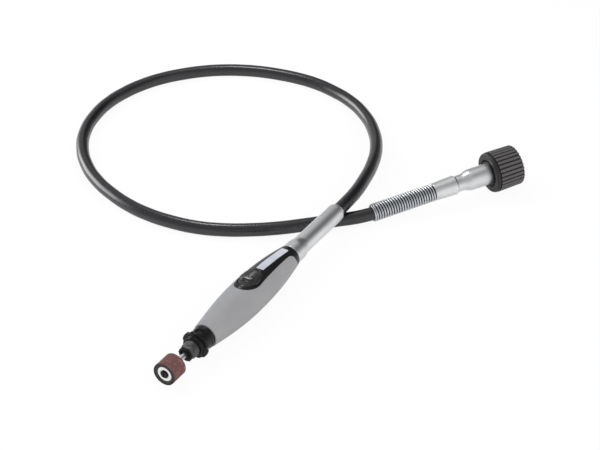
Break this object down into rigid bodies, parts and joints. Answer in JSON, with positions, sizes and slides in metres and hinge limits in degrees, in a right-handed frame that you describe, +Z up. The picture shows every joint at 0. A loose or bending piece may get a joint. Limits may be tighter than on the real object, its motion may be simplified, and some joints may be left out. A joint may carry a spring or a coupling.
{
  "type": "flexible shaft handpiece",
  "caption": "Slim rotary handpiece with a soft grip, lock button, collet and sanding drum, on a looped flexible drive cable with a guard spring and a knurled motor coupling nut.",
  "frame": {"origin": "on the ground plane, under the centre of the box round everything but the cable", "axes": "+X along the handpiece, to the bit; +Z up from the ground that the tool lies on"},
  "size_m": [0.3254, 0.2861, 0.0264],
  "materials": {
    "black_plastic": "fine satin texture",
    "black_gloss": "glossy",
    "black_rubber": "satin",
    "grey_soft_touch": "soft touch, matte",
    "zinc_plate": "bright zinc plate",
    "bright_steel": "polished wire",
    "ground_steel": "ground",
    "dark_steel": "blackened steel, satin",
    "bronze": "sintered bronze",
    "felt": "felt",
    "abrasive_band": "aluminium oxide grit on cloth",
    "pale_washer": "pale satin plate",
    "pale_label": "silver-white film"
  },
  "bodies": {
    "tool_body": {"body_shell": "black_plastic", "soft_grip": "grey_soft_touch", "nose_cap": "black_gloss", "felt_seal": "felt", "preload_washer": "ground_steel", "front_outer_race": "ground_steel", "rear_outer_race": "ground_steel", "bearing_retainer": "dark_steel", "handpiece_ferrule": "zinc_plate", "label_strip": "pale_label", "lock_spring": "bright_steel", "sheath": "black_rubber", "casing_liner": "zinc_plate", "drive_core": "ground_steel", "guard_spring": "bright_steel", "coupling_ferrule": "zinc_plate", "core_bush": "bronze", "nut_ring": "dark_steel"},
    "spindle": {"spindle": "ground_steel", "lock_sleeve": "dark_steel", "front_inner_race": "ground_steel", "rear_inner_race": "ground_steel", "spindle_clip": "dark_steel", "core_tip": "ground_steel"},
    "front_balls": {"front_ball_1": "bright_steel", "front_ball_2": "bright_steel", "front_ball_3": "bright_steel", "front_ball_4": "bright_steel", "front_ball_5": "bright_steel", "front_ball_6": "bright_steel", "front_ball_7": "bright_steel"},
    "rear_balls": {"rear_ball_1": "bright_steel", "rear_ball_2": "bright_steel", "rear_ball_3": "bright_steel", "rear_ball_4": "bright_steel", "rear_ball_5": "bright_steel", "rear_ball_6": "bright_steel", "rear_ball_7": "bright_steel"},
    "lock": {"lock_button": "black_plastic", "lock_pin": "ground_steel"},
    "collet": {"collet": "ground_steel"},
    "collet_nut": {"collet_nut": "dark_steel"},
    "bit": {"mandrel": "ground_steel", "rubber_drum": "black_rubber"},
    "band": {"sanding_band": "abrasive_band"},
    "washer": {"drum_washer": "pale_washer"},
    "screw": {"drum_screw": "dark_steel"},
    "coupling_nut": {"coupling_nut": "black_plastic"},
    "driver": {"driver_shaft": "ground_steel"}
  },
  "joints": [
    {"name": "spindle_spin", "type": "hinge", "parent": "tool_body", "child": "spindle", "pos_m": [0.1064, -0.0338, 0.00993], "axis": [0.9998, 0, -0.0218], "continuous": true},
    {"name": "front_ball_orbit", "type": "hinge", "parent": "tool_body", "child": "front_balls", "pos_m": [0.1064, -0.0338, 0.00993], "axis": [0.9998, 0, -0.0218], "continuous": true},
    {"name": "rear_ball_orbit", "type": "hinge", "parent": "tool_body", "child": "rear_balls", "pos_m": [0.1064, -0.0338, 0.00993], "axis": [0.9998, 0, -0.0218], "continuous": true},
    {"name": "lock_press", "type": "slide", "parent": "tool_body", "child": "lock", "axis": [-0.0218, 0, -0.9998], "range_m": [0, 0.002], "stiffness_N_per_m": 900, "springref_m": -0.0012, "deforming": ["lock_spring"]},
    {"name": "collet_release", "type": "slide", "parent": "spindle", "child": "collet", "axis": [0.9998, 0, -0.0218], "range_m": [0, 0.0019]},
    {"name": "collet_nut_turn", "type": "hinge", "parent": "collet", "child": "collet_nut", "pos_m": [0.1064, -0.0338, 0.00993], "axis": [0.9998, 0, -0.0218], "range_deg": [0, 1080]},
    {"name": "bit_pull", "type": "slide", "parent": "collet", "child": "bit", "axis": [0.9998, 0, -0.0218], "range_m": [0, 0.027]},
    {"name": "band_slide", "type": "slide", "parent": "bit", "child": "band", "axis": [0.9998, 0, -0.0218], "range_m": [0, 0.012]},
    {"name": "washer_slide", "type": "slide", "parent": "bit", "child": "washer", "axis": [0.9998, 0, -0.0218], "range_m": [0, 0.001]},
    {"name": "drum_screw_turn", "type": "hinge", "parent": "washer", "child": "screw", "pos_m": [0.1064, -0.0338, 0.00993], "axis": [0.9998, 0, -0.0218], "range_deg": [0, 720]},
    {"name": "driver_spin", "type": "hinge", "parent": "tool_body", "child": "driver", "pos_m": [-0.12444, 0.0258, 0.01291], "axis": [0.8346, -0.5441, -0.0863], "continuous": true},
    {"name": "coupling_nut_spin", "type": "hinge", "parent": "tool_body", "child": "coupling_nut", "pos_m": [-0.11993, 0.02286, 0.01245], "axis": [-0.8346, 0.5441, 0.0863], "continuous": true}
  ],
  "couplings": [
    {"joint": "front_ball_orbit", "follows": "spindle_spin", "ratio": 0.42},
    {"joint": "rear_ball_orbit", "follows": "spindle_spin", "ratio": 0.42},
    {"joint": "driver_spin", "follows": "spindle_spin", "ratio": 1},
    {"joint": "collet_nut_turn", "follows": "collet_release", "rad_per_m": 9894.8},
    {"joint": "drum_screw_turn", "follows": "washer_slide", "rad_per_m": 12566}
  ]
}
